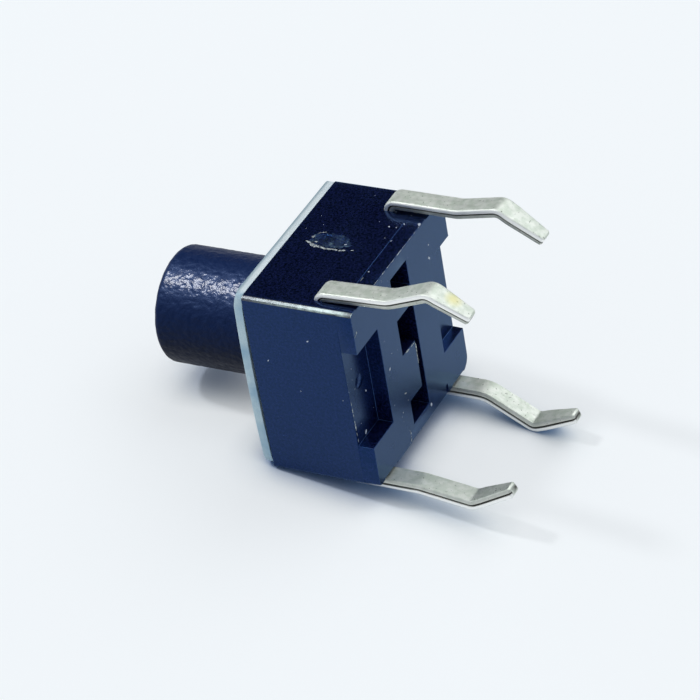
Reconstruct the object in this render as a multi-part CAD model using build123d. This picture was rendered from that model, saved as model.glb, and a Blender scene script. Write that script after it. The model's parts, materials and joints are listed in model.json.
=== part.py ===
import math
import os

from build123d import *

# Sizes are in millimetres. The switch is first built standing on its seating
# face with the button up: x points to the plain side that the photo shows, y to
# the upper pair of legs, z along the button. The last lines lay it down.

# Moulded housing
body_side = 6.0
body_height = 3.42
body_edge_radius = 0.2
skirt_height = 0.49
skirt_step = 0.02
skirt_draft_deg = 1.5
skirt_corner_radius = 0.45
well_wall = 0.6
well_floor = 1.45

# Recesses in the seating face
notch_reach = 1.3
notch_end_wall = 1.37
pin_mark_radius = 0.22
pin_mark_depth = 0.05
pin_mark_inset = 0.65
pin_mark_y = 0.2
slot_left = -0.43
slot_right = 0.6
slot_end_wall = 0.48
slot_hole_depth = 0.85
platform_depth = 0.25
end_hole_length = 0.84
bridge_length = 0.58
other_end_hole_length = 0.94
platform_length = 1.48
edge_relief_pocket_gap = 0.18
edge_relief_slot_gap = 0.2
edge_relief_width = 0.35
edge_relief_depth = 0.15

# Corner posts, flattened over the cover plate
post_inset = 0.7
post_radius = 0.4
post_clearance = 0.02
post_head_radius = 0.55
post_head_height = 0.15
post_head_rounding = 0.1

# Stamped cover plate
cover_thickness = 0.28
cover_corner_radius = 0.3

# Button
button_top = 7.5
button_end_rounding = 0.2
guide_step = 0.2
guide_rise = 0.3
guide_clearance = 0.05
flange_clearance = 0.1
flange_lip = 0.55
flange_thickness = 0.6
flange_play = 0.01
nub_radius = 0.6
button_travel = 0.25

# Snap dome
dome_rim_gap = 0.3
dome_rise = 0.3
dome_thickness = 0.07
dome_play = 0.01

# Stamped terminals
leg_side_inset = 0.75
leg_width = 0.7
leg_tip_width = 0.38
leg_taper_length = 0.95
strip_thickness = 0.3
strip_top = 1.35
leg_wall_gap = 0.05
leg_flare_start = -0.95
leg_bend_radius = 0.22
leg_pocket_depth = 0.25
leg_pocket_side_gap = 0.12
rim_pad_width = 0.3
rim_pad_length = 1.0
tongue_width = 0.8
contact_radius = 0.35
contact_gap = 0.01

# The four legs of the switch in the photo are not bent quite alike. Each has the
# outer face at its knee, the height of the knee, the outer face at its tip and
# the height of the tip, out from the side of the body and up from the seating face.
near_upper_leg = (0.82, -2.2, 0.15, -3.35)
far_upper_leg = (0.62, -2.25, -0.25, -3.5)
near_lower_leg = (0.58, -2.6, -0.05, -3.85)
far_lower_leg = (1.2, -2.4, 0.7, -3.75)

# How far a cut reaches past the face that it opens
overrun = 1.0

body_half = body_side / 2
well_radius = body_half - well_wall
flange_radius = well_radius - flange_clearance
button_radius = flange_radius - flange_lip
guide_radius = button_radius + guide_step
dome_rim_radius = well_radius - dome_rim_gap
post_offset = body_half - post_inset
leg_offset = body_half - leg_side_inset
leg_inner_face = body_half + leg_wall_gap
leg_pocket_half = leg_width / 2 + leg_pocket_side_gap
notch_inner = body_half - notch_reach
notch_half_length = body_half - notch_end_wall
slot_end = body_half - slot_end_wall
bridge_end = slot_end - end_hole_length
bridge_start = bridge_end - bridge_length
platform_end = other_end_hole_length - slot_end
platform_start = platform_end + platform_length
cover_top = body_height + cover_thickness
strip_bottom = strip_top - strip_thickness
strip_middle = strip_top - strip_thickness / 2
leg_middle_face = leg_inner_face + strip_thickness / 2
contact_top = well_floor + dome_rise - button_travel - contact_gap
dome_top = well_floor + dome_rise + dome_thickness


def box(left, right, front, back, bottom, top):
    middle = ((left + right) / 2, (front + back) / 2, (bottom + top) / 2)
    return Pos(*middle) * Box(right - left, back - front, top - bottom)


def rod(radius, bottom, top):
    return Pos(0, 0, (bottom + top) / 2) * Cylinder(radius, top - bottom)


def at_corners(piece):
    places = GridLocations(2 * post_offset, 2 * post_offset, 2, 2)
    return [place * piece for place in places]


def make_block():
    upper_outline = RectangleRounded(body_side, body_side, body_edge_radius)
    upper = Pos(0, 0, skirt_height) * extrude(upper_outline, body_height - skirt_height)
    skirt_side = body_side - 2 * skirt_step
    skirt_outline = RectangleRounded(skirt_side, skirt_side, skirt_corner_radius)
    skirt = extrude(skirt_outline, skirt_height, dir=(0, 0, -1), taper=skirt_draft_deg)
    return upper + Pos(0, 0, skirt_height) * skirt


def make_post():
    head = rod(post_head_radius, cover_top, cover_top + post_head_height)
    head = fillet(head.edges().group_by(Axis.Z)[-1], post_head_rounding)
    return rod(post_radius, body_height, cover_top) + head


def seating_recesses():
    notch = box(notch_inner, body_half + overrun, -notch_half_length, notch_half_length, -overrun, skirt_height)
    pin_mark = Pos(body_half - pin_mark_inset, pin_mark_y) * rod(pin_mark_radius, 0, skirt_height + pin_mark_depth)
    end_hole = box(slot_left, slot_right, bridge_end, slot_end, -overrun, slot_hole_depth)
    middle_hole = box(slot_left, slot_right, platform_start, bridge_start, -overrun, slot_hole_depth)
    platform = box(slot_left, slot_right, platform_end, platform_start, -overrun, platform_depth)
    other_end_hole = box(slot_left, slot_right, -slot_end, platform_end, -overrun, slot_hole_depth)
    relief = box(
        edge_relief_pocket_gap + leg_pocket_half - leg_offset,
        slot_right + edge_relief_slot_gap,
        -body_half - overrun,
        edge_relief_width - body_half,
        -overrun,
        edge_relief_depth,
    )
    return [
        notch,
        mirror(notch, Plane.YZ),
        pin_mark,
        end_hole,
        middle_hole,
        platform,
        other_end_hole,
        relief,
    ]


def leg_pockets():
    pocket = box(
        leg_offset - leg_pocket_half,
        leg_offset + leg_pocket_half,
        body_half - leg_pocket_depth,
        body_half + overrun,
        -overrun,
        strip_bottom,
    )
    side = [pocket, mirror(pocket, Plane.YZ)]
    return side + [mirror(cut, Plane.XZ) for cut in side]


def make_housing(terminals):
    solid = make_block()
    for post in at_corners(make_post()):
        solid += post
    solid -= rod(well_radius, well_floor, body_height + overrun)
    for cut in seating_recesses() + leg_pockets() + terminals:
        solid -= cut
    return solid


def make_cover():
    outline = RectangleRounded(body_side, body_side, cover_corner_radius)
    plate = Pos(0, 0, body_height) * extrude(outline, cover_thickness)
    plate -= rod(guide_radius + guide_clearance, body_height - overrun, cover_top + overrun)
    for hole in at_corners(rod(post_radius + post_clearance, body_height - overrun, cover_top + overrun)):
        plate -= hole
    return plate


def make_button():
    flange_top = body_height - flange_play
    flange_bottom = flange_top - flange_thickness
    stem = rod(button_radius, flange_top, button_top)
    stem = fillet(stem.edges().group_by(Axis.Z)[-1], button_end_rounding)
    flange = rod(flange_radius, flange_bottom, flange_top)
    guide = rod(guide_radius, flange_top, cover_top + guide_rise)
    nub = rod(nub_radius, dome_top + dome_play, flange_bottom)
    return stem + guide + flange + nub


def make_dome():
    ball_radius = (dome_rim_radius**2 + dome_rise**2) / (2 * dome_rise)
    under = RadiusArc((0, well_floor + dome_rise), (dome_rim_radius, well_floor), ball_radius)
    over = Pos(0, dome_thickness) * under
    rim = Line(under @ 1, over @ 1)
    axis_side = Line(over @ 0, under @ 0)
    section = make_face([under, rim, over, axis_side])
    return revolve(Plane.XZ * section, Axis.Z)


def leg_points(leg):
    knee_out, knee_height, tip_out, tip_height = leg
    middle = body_half - strip_thickness / 2
    return [
        (0, strip_middle),
        (leg_middle_face, strip_middle),
        (leg_middle_face, leg_flare_start),
        (middle + knee_out, knee_height),
        (middle + tip_out, tip_height),
    ]


def make_leg(leg):
    side = trace(FilletPolyline(*leg_points(leg), radius=leg_bend_radius), strip_thickness)
    strip = Plane.YZ * extrude(side, leg_width / 2, both=True)
    half = leg_width / 2
    tip_half = leg_tip_width / 2
    tip_height = leg[-1]
    blank_end = tip_height - strip_thickness
    taper_start = tip_height + leg_taper_length
    blank_outline = Polyline(
        (-half, body_height),
        (-half, taper_start),
        (-tip_half, blank_end),
        (tip_half, blank_end),
        (half, taper_start),
        (half, body_height),
        close=True,
    )
    blank = extrude(Plane.XZ * make_face(blank_outline), body_side, both=True)
    return strip & blank


def make_strip(upper_leg, lower_leg):
    return make_leg(upper_leg) + mirror(make_leg(lower_leg), Plane.XZ)


def make_near_terminal():
    strip = Pos(leg_offset) * make_strip(near_upper_leg, near_lower_leg)
    inner = leg_offset - leg_width / 2
    pad = box(inner, inner + rim_pad_width, -rim_pad_length / 2, rim_pad_length / 2, strip_middle, well_floor)
    return strip + pad


def make_far_terminal():
    strip = Pos(-leg_offset) * make_strip(far_upper_leg, far_lower_leg)
    tongue = box(-leg_offset, 0, -tongue_width / 2, tongue_width / 2, strip_bottom, strip_top)
    tongue_end = rod(tongue_width / 2, strip_bottom, strip_top)
    contact = rod(contact_radius, strip_middle, contact_top)
    return strip + tongue + tongue_end + contact


def rest_tilt_deg():
    # The switch lies on the lower edge of its cover plate and on the knee of the
    # leg that is bent out furthest, so the floor is the line from that edge that
    # just touches the round outside of the knee.
    _, _, before, knee, after = [Vector(*point) for point in leg_points(far_lower_leg)]
    to_before = (before - knee).normalized()
    to_after = (after - knee).normalized()
    half_angle = math.radians(to_before.get_angle(to_after)) / 2
    centre = knee + (to_before + to_after).normalized() * (leg_bend_radius / math.sin(half_angle))
    drop = centre.X - body_half
    run = cover_top - centre.Y
    knee_radius = leg_bend_radius + strip_thickness / 2
    return math.degrees(math.atan2(drop, run) + math.asin(knee_radius / math.hypot(drop, run)))


def lay_down(pieces):
    tilt = math.radians(rest_tilt_deg())
    lying = Plane(origin=(0, 0, 0), x_dir=(0, -1, 0), z_dir=(-math.cos(tilt), 0, -math.sin(tilt)))
    laid = {name: lying * piece for name, piece in pieces.items()}
    reach = Compound(children=[Compound(piece.solids()) for piece in laid.values()]).bounding_box()
    to_floor = Pos(-reach.center().X, -reach.center().Y, -reach.min.Z)
    return {name: to_floor * piece for name, piece in laid.items()}


near_terminal = make_near_terminal()
far_terminal = make_far_terminal()
standing = {
    "housing": make_housing([near_terminal, far_terminal]),
    "cover_plate": make_cover(),
    "button": make_button(),
    "snap_dome": make_dome(),
    "terminal_near": near_terminal,
    "terminal_far": far_terminal,
}

os.makedirs("parts", exist_ok=True)
for name, piece in lay_down(standing).items():
    export_step(piece, f"parts/{name}.step")
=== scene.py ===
import json
import math
import random

import bmesh
import bpy
from mathutils import Matrix, Vector, noise

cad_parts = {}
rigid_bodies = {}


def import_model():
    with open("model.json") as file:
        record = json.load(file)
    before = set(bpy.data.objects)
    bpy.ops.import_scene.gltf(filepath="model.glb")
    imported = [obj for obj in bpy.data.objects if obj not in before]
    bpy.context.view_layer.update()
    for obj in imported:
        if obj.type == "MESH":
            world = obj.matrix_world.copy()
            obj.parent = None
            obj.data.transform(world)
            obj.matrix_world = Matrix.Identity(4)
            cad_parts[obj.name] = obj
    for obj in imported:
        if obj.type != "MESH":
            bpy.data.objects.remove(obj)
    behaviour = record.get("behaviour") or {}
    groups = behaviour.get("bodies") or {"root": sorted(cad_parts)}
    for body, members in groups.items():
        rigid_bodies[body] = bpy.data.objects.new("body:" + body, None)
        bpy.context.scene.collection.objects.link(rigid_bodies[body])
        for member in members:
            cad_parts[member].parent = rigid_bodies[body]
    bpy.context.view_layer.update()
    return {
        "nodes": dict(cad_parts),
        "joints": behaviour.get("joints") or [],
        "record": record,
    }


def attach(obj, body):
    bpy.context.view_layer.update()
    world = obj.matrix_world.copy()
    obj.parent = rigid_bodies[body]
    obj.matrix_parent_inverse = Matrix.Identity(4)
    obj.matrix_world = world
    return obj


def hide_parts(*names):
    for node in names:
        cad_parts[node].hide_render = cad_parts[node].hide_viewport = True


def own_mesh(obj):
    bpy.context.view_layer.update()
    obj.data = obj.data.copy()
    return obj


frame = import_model()
scene = bpy.context.scene
scene.view_settings.view_transform = "Standard"
random.seed(7)
print("frame loaded:", ", ".join(sorted(frame["nodes"])))

# Every piece is built standing on its seating face, in millimetres: x to the side
# that faces the viewer, y to the upper legs, z along the button. One matrix then
# lays it down where the frame says.
mm = 0.001
pressAxis = Vector(frame["joints"][0]["axis"]).normalized()
seatCentre = Vector(next(m["pos_m"] for m in frame["record"]["mounts"] if m["name"] == "legs"))
standX = Vector((0, -1, 0))
standZ = -pressAxis
standY = standZ.cross(standX)
turn = Matrix((standX, standY, standZ)).transposed()
layDown = Matrix.LocRotScale(seatCentre, turn.to_quaternion(), Vector((mm, mm, mm)))

hair = 0.001  # places closer than this are the same
overrun = 0.3  # how far a cutter reaches past the face that it opens
bothWays = (-1, 1)
sharpAngle = math.radians(40)  # an edge steeper than this gets rounded
smoothAngle = math.radians(38)  # an edge flatter than this is shaded smooth


def linear(hexCode):
    parts = [int(hexCode[i:i + 2], 16) / 255 for i in (1, 3, 5)]
    return tuple(p / 12.92 if p <= 0.04045 else ((p + 0.055) / 1.055) ** 2.4 for p in parts) + (1.0,)


# A node with its settings and links; a hex code is turned to linear. A colour mix takes
# its share at input 0 and its colours at 6 and 7, and gives the result at output 2.
def addNode(tree, kind, values=None, **settings):
    node = tree.nodes.new("ShaderNode" + kind)
    for name, value in settings.items():
        setattr(node, name, value)
    for name, value in (values or {}).items():
        if isinstance(value, bpy.types.NodeSocket):
            tree.links.new(value, node.inputs[name])
        else:
            node.inputs[name].default_value = linear(value) if isinstance(value, str) else value
    return node


# Starts a material: its tree, its shader and the standing place in millimetres, so
# that a pattern's scale is one over its real size.
def startMaterial(name, values):
    material = bpy.data.materials.new(name)
    material.use_nodes = True
    tree = material.node_tree
    tree.nodes.clear()
    shader = addNode(tree, "BsdfPrincipled", values)
    addNode(tree, "OutputMaterial", {"Surface": shader.outputs[0]})
    upright = turn.transposed()
    place = addNode(tree, "TexCoord")
    standing = addNode(tree, "Mapping", {
        "Vector": place.outputs["Object"],
        "Location": upright @ seatCentre / -mm,
        "Rotation": upright.to_euler(),
        "Scale": (1 / mm, 1 / mm, 1 / mm),
    })
    return material, tree, shader, standing.outputs[0]


# Black nylon, moulded in a polished tool: nearly black and faintly mottled, with a soft
# sheen that turns slate blue where it mirrors the pale floor, greyer on its rounded edges,
# partly wear and partly a painted highlight, and torn to a pale speckled grey where it was scraped.
def makeHousingNylon(name, finish, wearAndHighlightTint, wearAndHighlightAmount):
    material, tree, shader, place = startMaterial(name, {
        "IOR": 1.53,
        "Specular IOR Level": 0.92,
        "Specular Tint": "#4f90f4",
        "Coat Weight": 1.0,
        "Coat Tint": "#e8f7ff",
        **finish,
    })
    cloudy = addNode(tree, "TexNoise", {"Vector": place, "Scale": 1 / 0.9, "Detail": 4.0})
    grain = addNode(tree, "TexNoise", {"Vector": place, "Scale": 1 / 0.07, "Detail": 2.0})
    fibres = addNode(tree, "TexNoise", {
        "Vector": place, "Scale": 1 / 0.16, "Detail": 5.0, "Roughness": 0.7,
    })
    wearAndHighlight = addNode(tree, "Attribute", attribute_name="wearAndHighlight")
    scraped = addNode(tree, "Attribute", attribute_name="scraped")
    mottles = addNode(tree, "MapRange", {"Value": grain.outputs["Fac"], "From Min": 0.35, "From Max": 0.65})
    mottled = addNode(tree, "Mix", {0: mottles.outputs[0], 6: "#00020c", 7: "#15183a"}, data_type="RGBA")
    patches = addNode(tree, "MapRange", {
        "Value": fibres.outputs["Fac"], "From Min": 0.35, "From Max": 0.6,
        "To Min": 0.2 * wearAndHighlightAmount, "To Max": wearAndHighlightAmount,
    })
    # Rounded edges are painted paler: partly wear, partly a painted highlight.
    wearAndHighlightShare = addNode(tree, "Math", {0: wearAndHighlight.outputs["Fac"], 1: patches.outputs[0]}, operation="MULTIPLY")
    wornAndHighlighted = addNode(tree, "Mix", {
        0: wearAndHighlightShare.outputs[0], 6: mottled.outputs[2], 7: wearAndHighlightTint,
    }, data_type="RGBA")
    shreds = addNode(tree, "MapRange", {
        "Value": fibres.outputs["Fac"], "From Min": 0.5, "From Max": 0.72, "To Min": 0.05,
    })
    tear = addNode(tree, "Math", {0: scraped.outputs["Fac"], 1: shreds.outputs[0]}, operation="MULTIPLY")
    torn = addNode(tree, "Mix", {0: tear.outputs[0], 6: wornAndHighlighted.outputs[2], 7: "#8f9c98"}, data_type="RGBA")
    sheen = addNode(tree, "MapRange", {
        "Value": cloudy.outputs["Fac"], "From Min": 0.3, "From Max": 0.7, "To Min": 0.2, "To Max": 0.28,
    })
    dulled = addNode(tree, "Math", {
        0: scraped.outputs["Fac"], 1: 0.3, 2: sheen.outputs[0],
    }, operation="MULTIPLY_ADD")
    bump = addNode(tree, "Bump", {"Height": grain.outputs["Fac"], "Distance": 0.004 * mm, "Strength": 0.6})
    tree.links.new(torn.outputs[2], shader.inputs["Base Color"])
    tree.links.new(dulled.outputs[0], shader.inputs["Roughness"])
    tree.links.new(bump.outputs[0], shader.inputs["Normal"])
    return material


# Black nylon torn into small lips and shreds: whitened by the strain, dull and uneven. Along two edges its
# pale lips also stand for glints: a painted highlight.
def makeTornNylon():
    material, tree, shader, place = startMaterial("nylonBlackTornAndGlints", {"IOR": 1.53, "Roughness": 0.5})
    strain = addNode(tree, "TexNoise", {"Vector": place, "Scale": 1 / 0.06, "Detail": 3.0})
    fade = addNode(tree, "MapRange", {"Value": strain.outputs["Fac"], "From Min": 0.35, "From Max": 0.62})
    tint = addNode(tree, "Mix", {0: fade.outputs[0], 6: "#26314a", 7: "#c0c9c6"}, data_type="RGBA")
    tree.links.new(tint.outputs[2], shader.inputs["Base Color"])
    return material


# House dust and plating crumbs: dry, pale and without shine.
def makeDust():
    material, tree, shader, place = startMaterial("dustDry", {"Roughness": 0.95, "Specular IOR Level": 0.2})
    kinds = addNode(tree, "TexNoise", {"Vector": place, "Scale": 1 / 0.2, "Detail": 1.0})
    tint = addNode(tree, "Mix", {0: kinds.outputs["Fac"], 6: "#8794a8", 7: "#dbe2ea"}, data_type="RGBA")
    tree.links.new(tint.outputs[2], shader.inputs["Base Color"])
    return material


# Black nylon from a spark-eroded mould: matt and grainy, and where the lamp glances
# off it the grains break the light into small sparks.
def makeButtonNylon():
    material, tree, shader, place = startMaterial("nylonBlackSparkTextured", {
        "IOR": 1.53,
        "Specular IOR Level": 0.1,
        "Specular Tint": "#8ab4ff",
        "Base Color": "#01071c",
        "Coat Weight": 0.07,
        "Coat Roughness": 0.2,
        "Coat IOR": 1.5,
    })
    grain = addNode(tree, "TexNoise", {"Vector": place, "Scale": 1 / 0.17, "Detail": 2.0})
    sheen = addNode(tree, "MapRange", {
        "Value": grain.outputs["Fac"], "From Min": 0.3, "From Max": 0.7, "To Min": 0.45, "To Max": 0.6,
    })
    bump = addNode(tree, "Bump", {"Height": grain.outputs["Fac"], "Distance": 0.031 * mm, "Strength": 0.8})
    tree.links.new(sheen.outputs[0], shader.inputs["Roughness"])
    tree.links.new(bump.outputs[0], shader.inputs["Normal"])
    tree.links.new(bump.outputs[0], shader.inputs["Coat Normal"])
    return material


# Brass strip with matt electroplated tin: a soft grey white with a faint green cast,
# fine draw marks and dark specks on its faces, a smooth bright band where the punch cut
# its sides, a greyer band where they tore, a crack painted dark as a painted shade in its groove, and a
# yellow flux stain by one tip.
def makeTinnedBrass():
    material, tree, shader, place = startMaterial("brassTinPlatedMatt", {"Metallic": 1.0})
    fluxSpot = (2.15, 3.5, -2.85)
    torn = addNode(tree, "Attribute", attribute_name="torn")
    cut = addNode(tree, "Attribute", attribute_name="cut")
    along = addNode(tree, "Mapping", {"Vector": place, "Scale": (1 / 0.05, 1 / 0.4, 1 / 0.4)})
    drawn = addNode(tree, "TexNoise", {"Vector": along.outputs[0], "Scale": 1.0, "Detail": 3.0})
    cloudy = addNode(tree, "TexNoise", {"Vector": place, "Scale": 1 / 0.2, "Detail": 5.0})
    pits = addNode(tree, "TexNoise", {"Vector": place, "Scale": 1 / 0.08, "Detail": 2.0})
    away = addNode(tree, "VectorMath", {0: place, 1: fluxSpot}, operation="DISTANCE")
    clouds = addNode(tree, "MapRange", {"Value": cloudy.outputs["Fac"], "From Min": 0.38, "From Max": 0.62})
    specks = addNode(tree, "MapRange", {
        "Value": pits.outputs["Fac"], "From Min": 0.66, "From Max": 0.74, "To Max": 0.8,
    })
    flux = addNode(tree, "MapRange", {
        "Value": away.outputs["Value"], "From Min": 0.32, "From Max": 0.08, "To Max": 0.7,
    })
    tint = addNode(tree, "Mix", {0: clouds.outputs[0], 6: "#d3dbcf", 7: "#e6eae2"}, data_type="RGBA")
    # The torn share paints the crack dark, a painted shade in its groove, and the torn band greyer.
    layers = [(specks.outputs[0], "#5d6658"), (cut.outputs["Fac"], "#f6f7f5"),
              (flux.outputs[0], "#e2dc9c"), (torn.outputs["Fac"], "#4b4a46")]
    for share, colour in layers:
        tint = addNode(tree, "Mix", {0: share, 6: tint.outputs[2], 7: colour}, data_type="RGBA")
    sheen = addNode(tree, "MapRange", {
        "Value": drawn.outputs["Fac"], "From Min": 0.3, "From Max": 0.7, "To Min": 0.52, "To Max": 0.66,
    })
    shine = addNode(tree, "Math", {
        0: cut.outputs["Fac"], 1: -0.08, 2: sheen.outputs[0],
    }, operation="MULTIPLY_ADD")
    bump = addNode(tree, "Bump", {"Height": drawn.outputs["Fac"], "Distance": 0.006 * mm, "Strength": 0.6})
    tree.links.new(tint.outputs[2], shader.inputs["Base Color"])
    tree.links.new(shine.outputs[0], shader.inputs["Roughness"])
    tree.links.new(bump.outputs[0], shader.inputs["Normal"])
    return material


# Plated steel sheet, stamped: a satin blue grey with cloudy patches and fine rolling
# lines. Its upper edge face is painted paler, a painted reflection, and darker towards the outer rim, a
# painted shade.
def makeCoverSteel():
    material, tree, shader, place = startMaterial("steelSheetStamped", {"Metallic": 1.0})
    along = addNode(tree, "Mapping", {"Vector": place, "Scale": (1 / 0.6, 1 / 0.04, 1 / 0.04)})
    lines = addNode(tree, "TexNoise", {"Vector": along.outputs[0], "Scale": 1.0, "Detail": 3.0})
    cloudy = addNode(tree, "TexNoise", {"Vector": place, "Scale": 1 / 0.7, "Detail": 4.0})
    clouds = addNode(tree, "MapRange", {"Value": cloudy.outputs["Fac"], "From Min": 0.38, "From Max": 0.62})
    bare = addNode(tree, "Mix", {0: clouds.outputs[0], 6: "#86abc3", 7: "#c6d5da"}, data_type="RGBA")
    rolled = addNode(tree, "Mix", {
        0: lines.outputs["Fac"], 6: bare.outputs[2], 7: "#b9ced8",
    }, data_type="RGBA")
    # Painted light: the upper edge face is paler as a painted reflection, and darker towards the outer rim
    # as a painted shade.
    spot = addNode(tree, "SeparateXYZ", {0: place})
    upper = addNode(tree, "MapRange", {
        "Value": spot.outputs["Y"], "From Min": 2.93, "From Max": 2.99, "To Max": 0.7,
    })
    outer = addNode(tree, "MapRange", {"Value": spot.outputs["Z"], "From Min": 3.56, "From Max": 3.68})
    edge = addNode(tree, "Mix", {0: outer.outputs[0], 6: "#eef2f2", 7: "#86a0ab"}, data_type="RGBA")
    paintedEdgeLight = addNode(tree, "Mix", {
        0: upper.outputs[0], 6: rolled.outputs[2], 7: edge.outputs[2],
    }, data_type="RGBA")
    sheen = addNode(tree, "MapRange", {
        "Value": lines.outputs["Fac"], "From Min": 0.3, "From Max": 0.7, "To Min": 0.7, "To Max": 0.84,
    })
    bump = addNode(tree, "Bump", {"Height": lines.outputs["Fac"], "Distance": 0.003 * mm, "Strength": 0.5})
    tree.links.new(paintedEdgeLight.outputs[2], shader.inputs["Base Color"])
    tree.links.new(sheen.outputs[0], shader.inputs["Roughness"])
    tree.links.new(bump.outputs[0], shader.inputs["Normal"])
    return material


# Stainless spring steel, rolled and pressed: bright, with fine rolling lines.
def makeDomeSteel():
    material, tree, shader, place = startMaterial("stainlessSpringSteelRolled", {
        "Metallic": 1.0, "Base Color": "#c9cbcc",
    })
    along = addNode(tree, "Mapping", {"Vector": place, "Scale": (1 / 0.8, 1 / 0.03, 1 / 0.8)})
    lines = addNode(tree, "TexNoise", {"Vector": along.outputs[0], "Scale": 1.0, "Detail": 2.0})
    sheen = addNode(tree, "MapRange", {
        "Value": lines.outputs["Fac"], "From Min": 0.3, "From Max": 0.7, "To Min": 0.18, "To Max": 0.3,
    })
    tree.links.new(sheen.outputs[0], shader.inputs["Roughness"])
    return material


# The moulded finish: its rounded edges are painted a paler blue grey, partly wear and partly a painted
# highlight.
housingNylon = makeHousingNylon(
    "nylonBlackMoulded", {"Coat IOR": 1.02}, wearAndHighlightTint="#3a4660", wearAndHighlightAmount=1.0)
# The near upper edge is painted pale grey green: a painted highlight, besides its coat's shine.
highlightPaintedNylon = makeHousingNylon("nylonBlackHighlightPainted", {
    "Specular IOR Level": 0.3, "Specular Tint": "#ffffff", "Coat Roughness": 0.4, "Coat IOR": 1.5,
}, wearAndHighlightTint="#ccd3c6", wearAndHighlightAmount=2.6)
tornAndGlintNylon = makeTornNylon()
dust = makeDust()
buttonNylon = makeButtonNylon()
tinnedBrass = makeTinnedBrass()
coverSteel = makeCoverSteel()
domeSteel = makeDomeSteel()
print("materials made")


# A closed solid from the cells of a grid for which filled is true.
def cellSolid(xs, ys, zs, filled):
    bm = bmesh.new()
    corners = {}
    xs, ys, zs = sorted(set(xs)), sorted(set(ys)), sorted(set(zs))

    def corner(i, j, k):
        if (i, j, k) not in corners:
            corners[i, j, k] = bm.verts.new((xs[i], ys[j], zs[k]))
        return corners[i, j, k]

    def isFilled(i, j, k):
        if not (0 <= i < len(xs) - 1 and 0 <= j < len(ys) - 1 and 0 <= k < len(zs) - 1):
            return False
        return filled((xs[i] + xs[i + 1]) / 2, (ys[j] + ys[j + 1]) / 2, (zs[k] + zs[k + 1]) / 2)

    sides = {
        (1, 0, 0): ((1, 0, 0), (1, 1, 0), (1, 1, 1), (1, 0, 1)),
        (-1, 0, 0): ((0, 0, 0), (0, 0, 1), (0, 1, 1), (0, 1, 0)),
        (0, 1, 0): ((0, 1, 0), (0, 1, 1), (1, 1, 1), (1, 1, 0)),
        (0, -1, 0): ((0, 0, 0), (1, 0, 0), (1, 0, 1), (0, 0, 1)),
        (0, 0, 1): ((0, 0, 1), (1, 0, 1), (1, 1, 1), (0, 1, 1)),
        (0, 0, -1): ((0, 0, 0), (0, 1, 0), (1, 1, 0), (1, 0, 0)),
    }
    for i in range(len(xs) - 1):
        for j in range(len(ys) - 1):
            for k in range(len(zs) - 1):
                if not isFilled(i, j, k):
                    continue
                for (di, dj, dk), quad in sides.items():
                    if not isFilled(i + di, j + dj, k + dk):
                        bm.faces.new([corner(i + a, j + b, k + c) for a, b, c in quad])
    bm.normal_update()
    return bm


# Rounds the edges that chosen picks, and marks the new faces to be painted paler, partly as wear and partly
# as a painted highlight.
def roundEdges(bm, chosen, radius, segments, wearAndHighlight=0.0):
    layer = bm.verts.layers.float.get("wearAndHighlight") or bm.verts.layers.float.new("wearAndHighlight")
    edges = [e for e in bm.edges if len(e.link_faces) == 2 and chosen(e)]
    made = bmesh.ops.bevel(
        bm, geom=edges, offset=radius, offset_type="OFFSET", segments=segments,
        profile=0.5, affect="EDGES", clamp_overlap=True,
    )
    strips = set(made["faces"])
    for vert in {v for face in strips for v in face.verts}:
        if all(face in strips for face in vert.link_faces):
            vert[layer] = max(vert[layer], wearAndHighlight)


def isSharp(edge):
    return edge.calc_face_angle(0) > sharpAngle


# Adds the faces between each ring of points and the next, which has as many.
def joinRings(bm, rings):
    for low, high in zip(rings, rings[1:]):
        for i in range(len(low)):
            j = (i + 1) % len(low)
            bm.faces.new((low[i], low[j], high[j], high[i]))


# A closed solid from outlines of equally many points, one above the other.
def stackedSolid(outlines):
    bm = bmesh.new()
    rings = [[bm.verts.new(point) for point in outline] for outline in outlines]
    joinRings(bm, rings)
    bm.faces.new(reversed(rings[0]))
    bm.faces.new(rings[-1])
    bmesh.ops.recalc_face_normals(bm, faces=bm.faces)
    return bm


def prism(outline, heights):
    return stackedSolid([[(x, y, z) for x, y in outline] for z in heights])


def boxSolid(low, high):
    outline = [(low[0], low[1]), (high[0], low[1]), (high[0], high[1]), (low[0], high[1])]
    return prism(outline, (low[2], high[2]))


# A turned solid from a profile of (radius, height) that starts and ends on the axis. Where
# move is given, it tells how far each point is pushed out.
def turnedSolid(profile, segments, centre=(0, 0), move=None):
    bm = bmesh.new()
    rings = []
    for radius, height in profile:
        if radius == 0:
            rings.append([bm.verts.new((*centre, height))])
            continue
        ring = []
        for i in range(segments):
            angle = 2 * math.pi * i / segments
            x, y = radius * math.cos(angle), radius * math.sin(angle)
            ring.append(bm.verts.new((centre[0] + x, centre[1] + y, height)))
        rings.append(ring)
    for low, high in zip(rings, rings[1:]):
        for i in range(segments):
            j = (i + 1) % segments
            if len(low) == 1:
                bm.faces.new((low[0], high[j], high[i]))
            elif len(high) == 1:
                bm.faces.new((low[i], low[j], high[0]))
            else:
                bm.faces.new((low[i], low[j], high[j], high[i]))
    bmesh.ops.recalc_face_normals(bm, faces=bm.faces)
    if move:
        bm.normal_update()
        shifts = [vert.normal * move(vert.co) for vert in bm.verts]
        for vert, shift in zip(bm.verts, shifts):
            vert.co += shift
    return bm


# The points of a quarter circle, from the first axis to the second.
def quarterArc(centre, radius, steps):
    angles = [i * math.pi / 2 / steps for i in range(steps + 1)]
    return [(centre[0] + radius * math.cos(a), centre[1] + radius * math.sin(a)) for a in angles]


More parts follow.
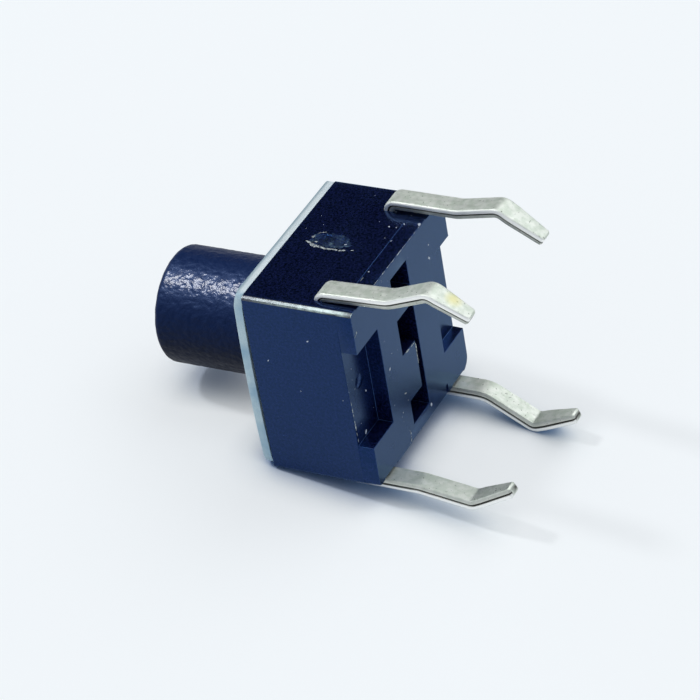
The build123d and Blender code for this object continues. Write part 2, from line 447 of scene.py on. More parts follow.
# One solid joined with or cut by another; both are used up.
def carve(solid, tool, operation):
    holders = []
    for bm in (solid, tool):
        mesh = bpy.data.meshes.new("carving")
        bm.to_mesh(mesh)
        bm.free()
        holder = bpy.data.objects.new("carving", mesh)
        scene.collection.objects.link(holder)
        holders.append(holder)
    cut = holders[0].modifiers.new("cut", "BOOLEAN")
    cut.object = holders[1]
    cut.operation = operation
    cut.solver = "EXACT"
    shaped = holders[0].evaluated_get(bpy.context.evaluated_depsgraph_get())
    mesh = bpy.data.meshes.new_from_object(shaped)
    result = bmesh.new()
    result.from_mesh(mesh)
    bpy.data.meshes.remove(mesh)
    for holder in holders:
        bpy.data.meshes.remove(holder.data)
    return result


# Lays a standing solid down and makes it a piece of the switch. Where it has more than
# one finish, pick tells which one a face has from its middle and its normal.
def makePiece(name, bm, finishes, body, node=None, pick=None):
    mesh = bpy.data.meshes.new(name)
    bm.to_mesh(mesh)
    bm.free()
    mesh.materials.clear()
    for finish in finishes:
        mesh.materials.append(finish)
    for face in mesh.polygons:
        face.material_index = pick(face.center, face.normal) if pick else 0
    mesh.transform(layDown)
    mesh.shade_smooth()
    mesh.set_sharp_from_angle(angle=smoothAngle)
    piece = bpy.data.objects.new(name, mesh)
    scene.collection.objects.link(piece)
    flat = piece.modifiers.new("flatFaces", "WEIGHTED_NORMAL")
    flat.keep_sharp = True
    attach(piece, body)
    if node:
        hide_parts(node)
    print("made", name, len(mesh.polygons), "faces")
    return piece


housing = {
    "half": 3.0,
    "height": 3.42,
    "cornerRadius": 0.1,
    "cornerSegments": 6,
    # The wear values paint the roundings paler: partly wear, partly a painted highlight.
    "cornerWearAndHighlight": 0.4,
    "edgeRadius": 0.035,
    "edgeSegments": 3,
    "edgeWearAndHighlight": 1.0,
    "rubbedEdge": (0.12, 0.065),  # what is rubbed off the upper and the near side, by their edge
    "highlightReach": 0.4,  # how far in from both sides a face with the painted highlight may lie, and how far it leans towards both at least
    "highlightLean": 0.15,  # and how far it leans towards both at least
    "skirtHeight": 0.49,
    "skirtDraft": 0.02,  # how far the skirt leans in at the seating face
    "farCornerRadius": 0.43,  # of the skirt's far corners, and how far in
    "farCornerInset": 0.03,  # of the sides the arc ends
    "farCornerSteps": 8,
    "partingHeight": 0.494,
    "partingGroove": (0.011, 0.013),  # depth and half height of the line round the skirt
    "scrape": {
        "centre": (-0.12, 3.038, 2.15),
        "reach": (0.4, 0.07, 0.76),
        "rough": 0.16,
        "lumps": {0.22: 1.0, 0.09: 0.6, 0.045: 0.35},  # size and share of each
        "tear": 0.7,  # how torn its middle is, and how that grows
        "tearGrowth": 0.8,  # towards the seating face
        "leastTear": 0.15,
    },
    "notchInner": 1.7,
    "notchHalfLength": 1.63,
    "farNotchDepth": 0.33,
    "pinMark": {"place": (2.35, 0.2), "radius": 0.22, "depth": 0.05, "bevelShares": (0.9, 0.7)},
    "slotSides": (-0.43, 0.6),
    "slotHoles": ((1.68, 2.52), (-0.1, 1.1), (-2.52, -1.7)),
    "slotPlatform": (-1.7, -0.1),
    "platformSide": -0.18,  # a deep gap stays open beside the platform
    "slotDepth": 0.85,
    "relief": {"sides": (-1.6, 0.88), "inner": -2.65, "depth": 0.035},
    "pocketSides": (1.85, 2.65),
    "pocketInner": 2.93,
    "pocketTop": 1.05,
    "wellRadius": 2.4,
    "wellFloor": 1.45,
    "wellSegments": 96,
    "postPlace": 2.3,
    "postRoot": 0.1,  # how deep a post starts in the block
    "postRadius": 0.4,
    "postSegments": 40,
    "coverTop": 3.7,
    "headRadius": 0.55,
    "headHeight": 0.15,
    "headRounding": 0.1,
    "headSteps": 5,
}


def between(value, ends):
    return ends[0] < value < ends[1]


# How far the sides stand out at a height: the skirt leans in.
def sideAt(h, z):
    return h["half"] - h["skirtDraft"] * max(0, 1 - z / h["skirtHeight"])


# What is taken off a far corner of the skirt to round it, up or down by signY.
def cornerCutter(h, signY):
    radius, clear = h["farCornerRadius"], h["half"] + overrun
    middle = h["half"] - radius - h["farCornerInset"]
    outline = [(clear, middle), (clear, clear), (middle, clear)]
    outline += reversed(quarterArc((middle, middle), radius, h["farCornerSteps"]))
    return prism([(-x, signY * y) for x, y in outline], (-overrun, h["partingHeight"]))


# The sharp frame that scores the parting line round the skirt.
def grooveCutter(h):
    depth, halfHeight = h["partingGroove"]
    inner, outer, middle = h["half"] - depth, h["half"] + overrun, h["partingHeight"]
    spread = halfHeight * (depth + overrun) / depth
    square = ((-1, -1), (1, -1), (1, 1), (-1, 1))
    bm = bmesh.new()
    loops = []
    for reach, z in ((inner, middle), (outer, middle - spread), (outer, middle + spread)):
        loops.append([bm.verts.new((x * reach, y * reach, z)) for x, y in square])
    joinRings(bm, loops + loops[:1])
    bmesh.ops.recalc_face_normals(bm, faces=bm.faces)
    return bm


# The lumpy shape of what was scraped out of the upper side.
def scrapeCutter(scrape):
    bm = bmesh.new()
    bmesh.ops.create_icosphere(bm, subdivisions=6, radius=1)
    layer = bm.verts.layers.float.new("scraped")
    reach, centre = Vector(scrape["reach"]), Vector(scrape["centre"])
    for vert in bm.verts:
        spot = vert.co * reach
        bulge = sum(share * noise.noise(spot / size) for size, share in scrape["lumps"].items())
        vert.co = centre + spot * (1 + scrape["rough"] * bulge)
        tear = scrape["tear"] - scrape["tearGrowth"] * spot.z / reach.z
        vert[layer] = max(scrape["leastTear"], tear)
    return bm


# Flattens the rounding of the near upper edge to a slant, as rubbing does.
def rubEdge(bm, h):
    upper, near = h["rubbedEdge"]
    for vert in bm.verts:
        side = sideAt(h, vert.co.z)
        x, y = side - vert.co.x, side - vert.co.y
        if max(x, y) < h["cornerRadius"] + 2 * hair:
            x *= upper / h["cornerRadius"]
            spare = max(0, 1 - x / upper - y / near) / (upper ** -2 + near ** -2)
            vert.co.x, vert.co.y = side - x - spare / upper, side - y - spare / near


# The block with its notches, slot and pockets, its edges rounded and one of them rubbed.
def makeBlock(h):
    half = h["half"]
    holeEnds = [end for hole in h["slotHoles"] for end in hole]
    xs = [s * v for v in (*h["pocketSides"], h["notchInner"], half) for s in bothWays]
    ys = [s * v for v in (h["pocketInner"], h["notchHalfLength"], half) for s in bothWays]
    zs = [0, h["farNotchDepth"], h["skirtHeight"], h["slotDepth"], h["pocketTop"], h["height"]]

    def isFilled(x, y, z):
        if between(abs(x), h["pocketSides"]) and abs(y) > h["pocketInner"] and z < h["pocketTop"]:
            return False
        if abs(x) > h["notchInner"] and abs(y) < h["notchHalfLength"]:
            if z < (h["skirtHeight"] if x > 0 else h["farNotchDepth"]):
                return False
        if between(x, h["slotSides"]) and z < h["slotDepth"]:
            if between(y, h["slotPlatform"]) and x < h["platformSide"]:
                return False
            if any(between(y, hole) for hole in h["slotHoles"]):
                return False
        return True

    def isCorner(edge):
        return all(min(abs(v.co.x), abs(v.co.y)) > sideAt(h, 0) - hair for v in edge.verts)

    def isPastSlot(vert):
        isLevel = any(abs(vert.co.y - end) < hair for end in holeEnds)
        return isLevel and abs(vert.co.x) > h["notchInner"] - hair

    def isPastPocket(vert):
        isLevel = abs(abs(vert.co.y) - h["pocketInner"]) < hair
        return isLevel and abs(vert.co.x) > h["pocketSides"][1] - hair

    def isSpare(edge):
        isFlat = edge.calc_face_angle(1) < hair
        return isFlat and (all(map(isPastSlot, edge.verts)) or all(map(isPastPocket, edge.verts)))

    block = cellSolid(xs + [*h["slotSides"], h["platformSide"]], ys + holeEnds, zs, isFilled)
    # The lines of the slot and the pockets run on to the sides, where they leave no room for roundings.
    bmesh.ops.dissolve_edges(block, edges=[edge for edge in block.edges if isSpare(edge)], use_verts=True)
    for vert in block.verts:
        for axis in (0, 1):
            if abs(vert.co[axis]) > half - hair:
                vert.co[axis] = math.copysign(sideAt(h, vert.co.z), vert.co[axis])
    block.normal_update()
    roundEdges(block, isCorner, h["cornerRadius"], h["cornerSegments"], h["cornerWearAndHighlight"])
    roundEdges(block, isSharp, h["edgeRadius"], h["edgeSegments"], h["edgeWearAndHighlight"])
    rubEdge(block, h)
    return block


# What is cut out of the block, apart from the scrape.
def housingCutters(h):
    radius, floorHeight, top = h["wellRadius"], h["wellFloor"], h["height"] + overrun
    well = turnedSolid([(0, floorHeight), (radius, floorHeight), (radius, top), (0, top)], h["wellSegments"])
    mark, skirt = h["pinMark"], h["skirtHeight"]
    floorShare, wallShare = mark["bevelShares"]
    pinMark = turnedSolid(
        [(0, 0), (mark["radius"], 0), (mark["radius"], skirt + mark["depth"] * wallShare),
         (mark["radius"] * floorShare, skirt + mark["depth"]), (0, skirt + mark["depth"])],
        h["postSegments"], mark["place"])
    (left, right), inner, outer = h["relief"]["sides"], h["relief"]["inner"], -h["half"] - overrun
    outline = [(left, inner), (left, outer), (right, outer), (right, inner)]
    relief = prism(outline, (-overrun, h["relief"]["depth"]))
    return [well, pinMark, relief] + [cornerCutter(h, signY) for signY in bothWays] + [grooveCutter(h)]


# A corner post with the head that is flattened over the cover plate.
def makePost(h, place):
    root, top, rounding = h["height"] - h["postRoot"], h["coverTop"] + h["headHeight"], h["headRounding"]
    profile = [(0, root), (h["postRadius"], root), (h["postRadius"], h["coverTop"]),
               (h["headRadius"], h["coverTop"])]
    profile += quarterArc((h["headRadius"] - rounding, top - rounding), rounding, h["headSteps"])
    return turnedSolid(profile + [(0, top)], h["postSegments"], place)


def fourCorners(reach):
    return [(x * reach, y * reach) for x in bothWays for y in bothWays]


def makeHousing(h):
    body = makeBlock(h)
    for cutter in housingCutters(h):
        body = carve(body, cutter, "DIFFERENCE")
    body.verts.layers.float.new("scraped")
    body = carve(body, scrapeCutter(h["scrape"]), "DIFFERENCE")
    for place in fourCorners(h["postPlace"]):
        body = carve(body, makePost(h, place), "UNION")
    return body


# The long edge nearest the viewer takes finish 1, whose pale colour is a painted highlight.
def pickHousing(middle, normal):
    leans = min(normal.x, normal.y) > housing["highlightLean"]
    return int(leans and min(middle.x, middle.y) > housing["half"] - housing["highlightReach"])


makePiece("housingMoulding", makeHousing(housing), [housingNylon, highlightPaintedNylon], "base",
          "housing", pickHousing)

# Grains make up the torn lips and the dust. They lie on sides that face these ways.
upSide, nearSide, seatSide = (0, 1, 0), (1, 0, 0), (0, 0, -1)
grains = {
    "thickness": 0.45,  # of the width
    "lumps": {1.6: 0.5, 4: 0.25},  # how many go on a grain, and their share
    "noiseReach": 50,  # each grain takes its lumps from some place in the noise
    "subdivisions": 3,
}

# Lips of torn plastic; along two edges they also stand for glints, a painted highlight. They
# follow one another along a line from start to end, which swings out by its bow between them.
lips = {
    "stray": 0.3,  # of the step along the row, and of the width across it
    "lengths": (0.45, 0.95),  # of the way to the next lip
    "widths": (0.45, 1),  # of the row's width
    "rows": {  # start, end, bow, how many, and width
        upSide: [
            ((0.05, 3.0, 2.84), (0.18, 3.0, 1.48), -0.13, 7, 0.07),  # round the near side of the scrape
            ((0.19, 3.0, 2.6), (0.25, 3.0, 2.12), -0.02, 3, 0.12),
            ((-0.2, 3.0, 2.8), (-0.23, 3.0, 2.66), 0.0, 1, 0.1),  # in its outer end
            ((0.0, 2.985, 2.62), (-0.02, 2.985, 2.53), 0.0, 1, 0.12),
            ((-0.37, 3.0, 2.7), (-0.52, 3.0, 2.42), 0.03, 2, 0.03),  # round its far side
            ((0.15, 3.0, 1.36), (0.13, 3.0, 1.3), 0.0, 1, 0.045),
            ((1.2, 3.0, 0.45), (1.5, 3.0, 0.44), 0.0, 1, 0.02),  # by the parting line
            ((-1.5, 2.982, 0.0), (1.5, 2.982, 0.0), 0.0, 9, 0.018),  # along the edge of the seating face: burrs, and pale as a painted glint line
        ],
        seatSide: [
            ((2.97, 0.62, 0.5), (2.93, -1.6, 0.49), 0.0, 10, 0.042),  # along the edge of the near notch: nicks, and pale as painted glints
            ((0.4, -0.12, 0.0), (-0.14, -0.14, 0.0), 0.0, 2, 0.05),  # round the platform
            ((-0.18, -0.15, 0.0), (-0.18, -0.9, 0.0), 0.0, 2, 0.05),
            ((0.84, -1.25, 0.0), (0.57, -1.36, 0.02), 0.0, 2, 0.05),  # beside the slot
            ((0.9, -2.5, 0.0), (0.95, -2.95, 0.0), 0.05, 4, 0.034),  # by the relief
            ((2.96, 2.18, 0.0), (2.74, 2.34, 0.0), 0.0, 2, 0.044),  # on the near upper corner
        ],
    },
}

# Crumbs of dust: the few that show, and fine ones strewn over whole sides.
crumbs = {
    "lengths": (0.2, 1.2),  # of the width, added to it
    "strewnWidths": (0.01, 0.022),
    "seen": {  # place and width
        upSide: [
            ((-1.52, 2.985, 0.03), 0.075),
            ((-1.4, 2.99, 0.44), 0.05),
            ((-0.1, 2.99, 1.65), 0.04),
            ((-1.2, 3.0, 0.6), 0.03),
            ((-1.19, 3.0, 0.82), 0.035),
            ((-0.56, 3.0, 0.46), 0.035),
            ((0.96, 3.0, 0.42), 0.035),
        ],
        seatSide: [
            ((-1.68, 1.75, 0.0), 0.06),
            ((-1.78, 2.12, 0.0), 0.045),
            ((1.4, 0.05, 0.0), 0.045),
            ((-0.5, -2.6, 0.0), 0.075),
            ((2.44, -1.49, 0.49), 0.07),
            ((2.07, -0.34, 0.49), 0.05),
        ],
        nearSide: [
            ((3.0, 1.83, 1.52), 0.045),
            ((3.0, 0.9, 2.92), 0.03),
        ],
    },
    "strewn": {  # two corners of the field, and how many
        upSide: [((-2.6, 3.0, 0.4), (1.5, 3.0, 3.2), 9)],
        seatSide: [
            ((-1.7, 2.5, 0.0), (1.6, 2.9, 0.0), 5),
            ((0.7, -2.9, 0.0), (1.6, 1.5, 0.0), 10),
            ((1.8, -1.5, 0.49), (2.8, 1.4, 0.49), 5),
        ],
        nearSide: [((3.0, -2.6, 0.7), (3.0, 2.6, 3.2), 2)],
    },
}


# A lumpy grain, flat on its side, from one place to another.
def addGrain(bm, start, end, width, facing):
    along = (end - start).normalized()
    across = Vector(facing).cross(along).normalized()
    sides = (along * ((end - start).length + width) / 2, across * width / 2,
             along.cross(across) * width / 2 * grains["thickness"])
    shape = Matrix(sides).transposed()
    offset = Vector([random.uniform(0, grains["noiseReach"]) for i in range(3)])
    for vert in bmesh.ops.create_icosphere(bm, subdivisions=grains["subdivisions"], radius=1)["verts"]:
        swell = 1
        for count, share in grains["lumps"].items():
            swell += share * noise.noise(vert.co * count + offset)
        vert.co = (start + end) / 2 + shape @ (vert.co * swell)


# Only the lips of a bowed row stray across it.
def makeLips(torn):
    bm = bmesh.new()
    stray = (-torn["stray"], torn["stray"])
    for facing, rows in torn["rows"].items():
        for start, end, bow, count, width in rows:
            start, end = Vector(start), Vector(end)
            swing = Vector(facing).cross(end - start).normalized() * bow
            points = []
            for i in range(count + 1):
                share = min(1, max(0, (i + random.uniform(*stray)) / count))
                aside = swing.normalized() * random.uniform(*stray) * width
                bowed = 4 * share * (1 - share)  # a parabola, 1 in the middle
                points.append(start.lerp(end, share) + swing * bowed + aside)
            for first, second in zip(points, points[1:]):
                tail = first.lerp(second, random.uniform(*torn["lengths"]))
                addGrain(bm, first, tail, width * random.uniform(*torn["widths"]), facing)
    return bm


def makeCrumbs(c):
    bm = bmesh.new()
    places = [(Vector(place), width, facing) for facing, seen in c["seen"].items() for place, width in seen]
    for facing, fields in c["strewn"].items():
        for low, high, count in fields:
            for i in range(count):
                place = Vector([random.uniform(a, b) for a, b in zip(low, high)])
                places.append((place, random.uniform(*c["strewnWidths"]), facing))
    for place, width, facing in places:
        along = Vector([0 if part else random.uniform(-1, 1) for part in facing]).normalized()
        addGrain(bm, place, place + along * width * random.uniform(*c["lengths"]), width, facing)
    return bm


makePiece("tornLips", makeLips(lips), [tornAndGlintNylon], "base")
makePiece("dustCrumbs", makeCrumbs(crumbs), [dust], "base")

cover = {
    "half": housing["half"],
    "bottom": housing["height"],
    "top": housing["coverTop"],
    "cornerRadii": {(1, 1): 0.45, (1, -1): 0.4, (-1, 1): 0.16, (-1, -1): 0.4},  # by the signs of x and y
    "cornerSegments": 8,
    "rolledEdge": 0.05,  # the punch draws the outer rim round
    "rolledSegments": 3,
    "shearedEdge": 0.015,
    "shearedSegments": 2,
    "holeRadius": 2.0,
    "holeSegments": 96,
    "postHoleRadius": 0.42,
    "bow": 0.08,  # the posts hold the corners, and the near edge bows out between them
    "bowSteps": 10,
    "scratch": {"sides": (0.2, 0.24), "inner": 2.965, "slant": 0.12, "clear": 0.2},  # across the upper edge
}


# The slanting wedge that scratches the upper edge.
def scratchCutter(c):
    scratch = c["scratch"]
    (left, right), clear = scratch["sides"], scratch["clear"]
    outer, inner = c["half"] + clear, scratch["inner"]
    ends = ((-scratch["slant"], c["bottom"] - clear), (scratch["slant"], c["top"] + clear))
    return stackedSolid([
        [(left + shift, outer, z), ((left + right) / 2 + shift, inner, z), (right + shift, outer, z)]
        for shift, z in ends
    ])


def makeCover(c):
    half, steps = c["half"], c["bowSteps"]

    def isCorner(edge, signX, signY):
        a, b = (v.co for v in edge.verts)
        return abs(a.z - b.z) > hair and min(a.x * signX, a.y * signY) > half - hair

    def isRim(edge, height):
        return isSharp(edge) and abs(edge.verts[0].co.z - height) < hair

    crossLines = [-half + 2 * half * i / steps for i in range(steps + 1)]
    plate = cellSolid([-half, half], crossLines, [c["bottom"], c["top"]], lambda x, y, z: True)
    for signs, radius in c["cornerRadii"].items():
        roundEdges(plate, lambda edge: isCorner(edge, *signs), radius, c["cornerSegments"])
    roundEdges(plate, lambda edge: isRim(edge, c["top"]), c["rolledEdge"], c["rolledSegments"])
    roundEdges(plate, lambda edge: isRim(edge, c["bottom"]), c["shearedEdge"], c["shearedSegments"])
    holes = [((0, 0), c["holeRadius"])]
    holes += [(place, c["postHoleRadius"]) for place in fourCorners(housing["postPlace"])]
    low, high = c["bottom"] - overrun, c["top"] + overrun
    for place, radius in holes:
        punch = turnedSolid([(0, low), (radius, low), (radius, high), (0, high)], c["holeSegments"], place)
        plate = carve(plate, punch, "DIFFERENCE")
    plate = carve(plate, scratchCutter(c), "DIFFERENCE")
    for vert in plate.verts:
        nearness = max(0, vert.co.x / half)
        vert.co.z += c["bow"] * nearness ** 2 * (1 - (vert.co.y / half) ** 2)
    return plate


makePiece("coverPlate", makeCover(cover), [coverSteel], "base", "cover_plate")

button = {
    "stemRadius": 1.745,
    "top": 7.492,
    "endRounding": 0.2,
    "endSteps": 8,
    "guideRadius": 1.945,
    "guideTop": 4.0,
    "shoulder": 0.02,  # height of the slant over the guide collar
    "stemStart": 4.06,
    "flangeRadius": 2.3,
    "flange": (2.81, 3.41),
    "nubRadius": 0.6,
    "nubBottom": 1.83,
    "ringStep": 0.045,
    "segments": 280,
    "grainStart": 4.03,
    "grain": 0.15,  # width of the spark-eroded grains
    "fineGrain": 0.0675,
    "fineShift": (5, 3, 8),  # so that the fine grains don't follow the coarse ones
    "grainHeight": 0.01,
    "coarseShare": 0.8,
    "fineShare": 0.25,
    "sunkShare": 0.4,  # sinks all of the grain a little into the stem
}


def makeButton(b):
    low, high = b["flange"]
    profile = [(0, b["nubBottom"]), (b["nubRadius"], b["nubBottom"]), (b["nubRadius"], low),
               (b["flangeRadius"], low), (b["flangeRadius"], high), (b["guideRadius"], high),
               (b["guideRadius"], b["guideTop"]), (b["stemRadius"], b["guideTop"] + b["shoulder"])]
    stemEnd, inner = b["top"] - b["endRounding"], b["stemRadius"] - b["endRounding"]
    length = stemEnd - b["stemStart"]
    count = round(length / b["ringStep"])
    profile += [(b["stemRadius"], b["stemStart"] + length * i / count) for i in range(count)]
    profile += quarterArc((inner, stemEnd), b["endRounding"], b["endSteps"])
    count = round(inner / b["ringStep"])
    profile += [(inner * (1 - i / count), b["top"]) for i in range(1, count + 1)]

    def spark(co):
        if co.z < b["grainStart"]:
            return 0
        coarse = b["coarseShare"] * noise.noise(co / b["grain"])
        fine = b["fineShare"] * noise.noise(co / b["fineGrain"] + Vector(b["fineShift"]))
        return b["grainHeight"] * (coarse + fine - b["sunkShare"])

    return turnedSolid(profile, b["segments"], move=spark)


makePiece("buttonMoulding", makeButton(button), [buttonNylon], "button", "button")

dome = {
    "rimRadius": 2.1,
    "rise": 0.3,
    "thickness": 0.07,
    "floor": housing["wellFloor"],
    "segments": 72,
    "rings": 14,
    "flattened": 0.12,  # its height when the button is fully pressed
}


def makeDome(d):
    ball = (d["rimRadius"] ** 2 + d["rise"] ** 2) / (2 * d["rise"])
    under = []
    for i in range(d["rings"] + 1):
        radius = d["rimRadius"] * i / d["rings"]
        under.append((radius, d["floor"] + d["rise"] - ball + math.sqrt(ball ** 2 - radius ** 2)))
    over = [(radius, height + d["thickness"]) for radius, height in reversed(under)]
    return turnedSolid(under + over, d["segments"])


snapDome = makePiece("snapDomeSpring", makeDome(dome), [domeSteel], "base", "snap_dome")
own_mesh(snapDome)

# A leg's root is where the middle of the strip leaves the body. Its knee and its tip are
# given by how far the outer face stands out from the body's side and by the height.
legs = {
    "place": 2.25,
    "width": 0.7,
    "tipWidth": 0.38,
    "taperLength": 0.95,
    "thickness": 0.3,
    "stripMiddle": 1.2,
    "flare": (3.2, -0.95),  # where the middle of the strip turns outwards
    "bendRadii": (0.22, 0.9, 0.3),  # at the root, where the leg flares out, and at the knee
    "runStep": 0.12,
    "arcStep": 8,  # degrees
    "endRounding": (0.05, 0.04),  # across the width and the thickness
    "section": [  # inset from the side, height over the middle, how torn, how cut
        (0.07, 0.15, 0, 0),  # the outer face, whose edge the punch drew round
        (0.028, 0.1416, 0, 0.3),
        (0.007, 0.1185, 0, 1),
        (0, 0.08, 0, 1),  # the band that it cut
        (0, 0.03, 0, 1),
        (0.06, 0.015, 1, 0),  # the crack
        (0.06, -0.015, 1, 0),
        (0.018, -0.03, 0.3, 0.3),  # the band that broke off
        (0.024, -0.11, 0.3, 0.3),
        (0.06, -0.15, 0, 0),  # the inner face
    ],
    "near": {
        "upper": {"root": 3.105, "knee": (0.82, -2.2), "tip": (0.15, -3.35)},  # half sunk in its pocket
        "lower": {"root": 3.2, "knee": (0.58, -2.6), "tip": (-0.05, -3.85)},
    },
    "far": {
        "upper": {"root": 3.2, "knee": (0.62, -2.25), "tip": (-0.25, -3.5)},
        "lower": {"root": 3.2, "knee": (1.2, -2.4), "tip": (0.7, -3.75)},
    },
}


# The corners of a leg's middle line from its root to its tip, in (y, z).
def legCorners(g, leg):
    face = housing["half"] - g["thickness"] / 2
    bends = [(face + out, height) for out, height in (leg["knee"], leg["tip"])]
    return [(leg["root"], g["stripMiddle"]), g["flare"]] + bends


# The middle line of a terminal from its lower tip to its upper tip, in (y, z), with
# rounded bends, as a list of places and directions.
def bentLine(corners, g):
    corners = [Vector(p) for p in corners]
    line = []

    def run(a, b):
        count = max(1, round((b - a).length / g["runStep"]))
        for i in range(count):
            line.append((a.lerp(b, i / count), (b - a).normalized()))

    start = corners[0]
    radii = g["bendRadii"][::-1] + g["bendRadii"]
    for before, here, after, radius in zip(corners, corners[1:], corners[2:], radii):
        back, ahead = (before - here).normalized(), (after - here).normalized()
        half = back.angle(ahead) / 2
        reach = radius / math.tan(half)
        centre = here + (back + ahead).normalized() * (radius / math.sin(half))
        run(start, here + back * reach)
        first, last = here + back * reach - centre, here + ahead * reach - centre
        sweep = first.angle_signed(last)
        count = max(2, round(abs(math.degrees(sweep)) / g["arcStep"]))
        for i in range(count):
            spoke = first.copy()
            spoke.rotate(Matrix.Rotation(-sweep * i / count, 2))
            side = Vector((-spoke.y, spoke.x)).normalized()
            line.append((centre + spoke, side if -sweep > 0 else -side))
        start = here + ahead * reach
    run(start, corners[-1])
    line.append((corners[-1], (corners[-1] - start).normalized()))
    return line


inside = {
    "pad": ((1.92, -0.5, 1.2), (2.2, 0.5, 1.45)),  # under the rim of the dome
    "tongue": ((-2.2, -0.4, 1.06), (0.03, 0.4, 1.34)),  # to the middle of the switch
    "tongueEnd": [(0, 1.07), (0.39, 1.07), (0.39, 1.33), (0, 1.33)],  # radius and height
    "contact": [(0, 1.2), (0.35, 1.2), (0.35, 1.45), (0.31, 1.49), (0, 1.49)],
    "segments": 48,
}


# What the dome touches: a pad on the near strip, and a tongue with a round contact on the far one.
def innerEnds(side):
    if side == "near":
        return [boxSolid(*inside["pad"])]
    rounds = [turnedSolid(inside[name], inside["segments"]) for name in ("tongueEnd", "contact")]
    return [boxSolid(*inside["tongue"])] + rounds


def makeTerminal(g, side, place):
    lower, upper = g[side]["lower"], g[side]["upper"]
    line = bentLine([(-y, z) for y, z in reversed(legCorners(g, lower))] + legCorners(g, upper), g)
    endWidth, endThickness = g["endRounding"]
    (firstSpot, firstWay), (lastSpot, lastWay) = line[0], line[-1]
    line.insert(1, (firstSpot + firstWay * endWidth, firstWay))
    line.insert(-1, (lastSpot - lastWay * endWidth, lastWay))
    bm = bmesh.new()
    torn = bm.verts.layers.float.new("torn")
    cut = bm.verts.layers.float.new("cut")
    rings = []
    for index, (spot, ahead) in enumerate(line):
        tipHeight = (upper if spot.x > 0 else lower)["tip"][1]
        share = (tipHeight + g["taperLength"] - spot.y) / (g["taperLength"] + g["thickness"])
        half = (g["width"] - max(0.0, share) * (g["width"] - g["tipWidth"])) / 2
        out = Vector((-ahead.y, ahead.x))
        narrow, thin = 1, 1
        if index in (0, len(line) - 1):
            narrow, thin = 1 - endWidth / half, 1 - endThickness / (g["thickness"] / 2)
        section = [(half - inset, height, tear, sheared) for inset, height, tear, sheared in g["section"]]
        section += [(-across, *rest) for across, *rest in reversed(section)]
        ring = []
        for across, height, tear, sheared in section:
            lift = out * height * thin
            vert = bm.verts.new((place + across * narrow, spot.x + lift.x, spot.y + lift.y))
            vert[torn], vert[cut] = tear, sheared
            ring.append(vert)
        rings.append(ring)
    joinRings(bm, rings)
    bm.faces.new(rings[0])
    bm.faces.new(rings[-1])
    bmesh.ops.recalc_face_normals(bm, faces=bm.faces)
    for tool in innerEnds(side):
        bm = carve(bm, tool, "UNION")
    return bm


for side, place in (("near", legs["place"]), ("far", -legs["place"])):
    makePiece("terminal" + side.capitalize(), makeTerminal(legs, side, place), [tinnedBrass],
              "base", "terminal_" + side)

floor = {
    "reach": 2.0,
    "colour": "#f0f5f8",
    "glow": "#f8fbfd",
    "glowShare": 0.55,  # the share of the floor's look that is plain white glow, which fades by things as a painted shade
    "paintedShadeReach": 1.3,  # how near a thing has to be for the painted shade to dim the floor
    "paintedShadeColour": "#6d8dbd",  # painted shade: a narrow gap by the dark blue plastic is painted in its colour
}


# Coated white board: even, pale and matt. Part of what the eye or a mirror sees of it
# is plain white, as on an overexposed studio table, and the rest takes the shadow. Close to
# a thing the white fades and the board is painted blue grey by ambient occlusion: a painted shade.
def makeBoard(f):
    material, tree, shader, _ = startMaterial("coatedBoardWhite", {
        "Roughness": 0.75, "Specular IOR Level": 0.2,
    })
    ray = addNode(tree, "LightPath").outputs
    mirrored = addNode(tree, "Math", {
        0: ray["Is Glossy Ray"], 1: ray["Is Transmission Ray"],
    }, operation="MAXIMUM")
    seen = addNode(tree, "Math", {0: ray["Is Camera Ray"], 1: mirrored.outputs[0]}, operation="MAXIMUM")
    # Painted shade: where ambient occlusion finds a thing near, the glow fades and the colour turns blue
    # grey.
    openness = addNode(tree, "AmbientOcclusion", {"Distance": f["paintedShadeReach"] * mm}, samples=16).outputs["AO"]
    lit = addNode(tree, "MapRange", {
        "Value": openness, "From Min": 0.45, "From Max": 1.0, "To Max": f["glowShare"],
    })
    share = addNode(tree, "Math", {0: seen.outputs[0], 1: lit.outputs[0]}, operation="MULTIPLY")
    shade = addNode(tree, "MapRange", {"Value": openness, "From Min": 0.2, "From Max": 0.8})
    board = addNode(tree, "Mix", {
        0: shade.outputs[0], 6: f["paintedShadeColour"], 7: f["colour"],
    }, data_type="RGBA")
    glow = addNode(tree, "Emission", {"Color": f["glow"], "Strength": 1.0})
    look = addNode(tree, "MixShader", {0: share.outputs[0], 1: shader.outputs[0], 2: glow.outputs[0]})
    tree.links.new(board.outputs[2], shader.inputs["Base Color"])
    tree.links.new(look.outputs[0], tree.get_output_node("ALL").inputs["Surface"])
    return material


def makeFloor(f):
    bm = bmesh.new()
    bmesh.ops.create_grid(bm, x_segments=8, y_segments=8, size=f["reach"])
    mesh = bpy.data.meshes.new("studioFloor")
    bm.to_mesh(mesh)
    bm.free()
    mesh.materials.append(makeBoard(f))
    table = bpy.data.objects.new("studioFloor", mesh)
    scene.collection.objects.link(table)


makeFloor(floor)

studio = {
    "lamps": {
        "softbox": {"from": (0.12, 0.55, 0.82), "across": 0.42, "level": 0.95},
        "key": {"from": (-0.595, -0.159, 0.784), "across": 0.06, "level": 0.9},
        "glint": {"from": (-0.595, -0.159, 0.784), "across": 0.13, "level": 13.5, "only": "buttonMoulding"},
    },
    "distance": 0.5,
    "sky": "#f2f8ff",
    "skyStrength": 0.62,
    "darkCorner": (-0.54, 0.69, 0.48),  # an unlit corner of the room, behind on the left
    "darkReach": (14, 32),  # degrees from its middle: fully dark, then fully light
    "darkShare": 0.03,
}


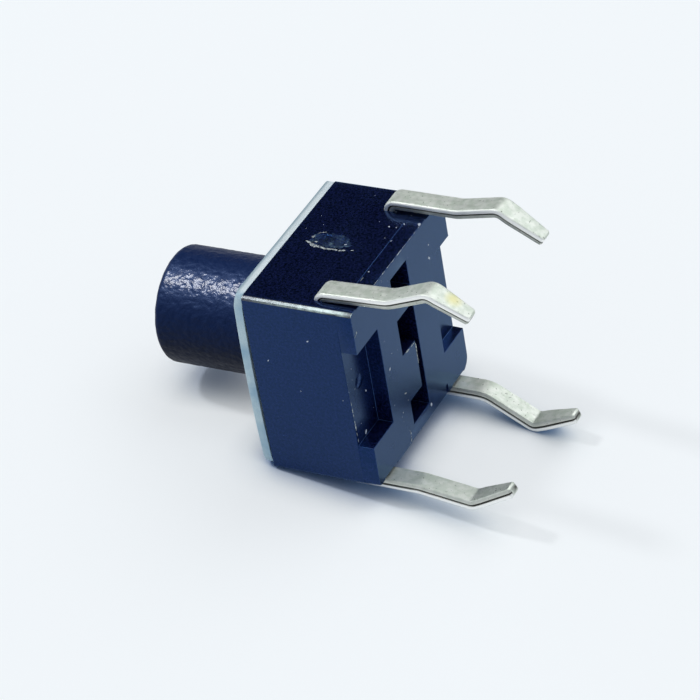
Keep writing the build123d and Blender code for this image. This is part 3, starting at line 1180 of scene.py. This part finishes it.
# A round lamp that lights the switch to its level, where pi lights a white card white.
def makeLamp(name, lamp, distance):
    light = bpy.data.lights.new(name, "AREA")
    light.shape = "DISK"
    light.size = lamp["across"]
    light.energy = math.pi * lamp["level"] * distance ** 2
    holder = bpy.data.objects.new(name, light)
    towards = Vector(lamp["from"]).normalized()
    holder.location = towards * distance
    holder.rotation_mode = "QUATERNION"
    holder.rotation_quaternion = (-towards).to_track_quat("-Z", "Y")
    scene.collection.objects.link(holder)
    if "only" in lamp:  # a lamp with a snoot, which reaches one piece
        reached = bpy.data.collections.new(name + "Reach")
        reached.objects.link(bpy.data.objects[lamp["only"]])
        holder.light_linking.receiver_collection = reached


# A pale room all around, with one dark corner.
def makeRoom(s):
    world = bpy.data.worlds.new("studioWorld")
    world.use_nodes = True
    tree = world.node_tree
    tree.nodes.clear()
    direction = addNode(tree, "TexCoord")
    towards = addNode(tree, "VectorMath", {
        0: direction.outputs["Generated"], 1: Vector(s["darkCorner"]).normalized(),
    }, operation="DOT_PRODUCT")
    dark, light = [math.cos(math.radians(angle)) for angle in s["darkReach"]]
    strength = addNode(tree, "MapRange", {
        "Value": towards.outputs["Value"], "From Min": light, "From Max": dark,
        "To Min": s["skyStrength"], "To Max": s["skyStrength"] * s["darkShare"],
    }, interpolation_type="SMOOTHSTEP")
    around = addNode(tree, "Background", {"Color": s["sky"], "Strength": strength.outputs[0]})
    addNode(tree, "OutputWorld", {"Surface": around.outputs[0]})
    scene.world = world


for lampName, lamp in studio["lamps"].items():
    makeLamp(lampName, lamp, studio["distance"])
makeRoom(studio)
print("studio lit")

view = {
    "place": (33.7131, -73.3988, 71.5239),  # millimetres
    "right": (0.89765, 0.43997, 0.02554),
    "up": (-0.30306, 0.57418, 0.76057),
    "lens": 190.534,
    "sensor": 36,
    "clip": (0.005, 10),  # metres
}


def makeCamera(v):
    camera = bpy.data.cameras.new("camera")
    camera.lens = v["lens"]
    camera.sensor_width = v["sensor"]
    camera.clip_start, camera.clip_end = v["clip"]
    holder = bpy.data.objects.new("camera", camera)
    right, up = Vector(v["right"]), Vector(v["up"])
    facing = Matrix((right, up, right.cross(up))).transposed()
    holder.matrix_world = Matrix.LocRotScale(Vector(v["place"]) * mm, facing.to_quaternion(), None)
    scene.collection.objects.link(holder)
    scene.camera = holder


makeCamera(view)
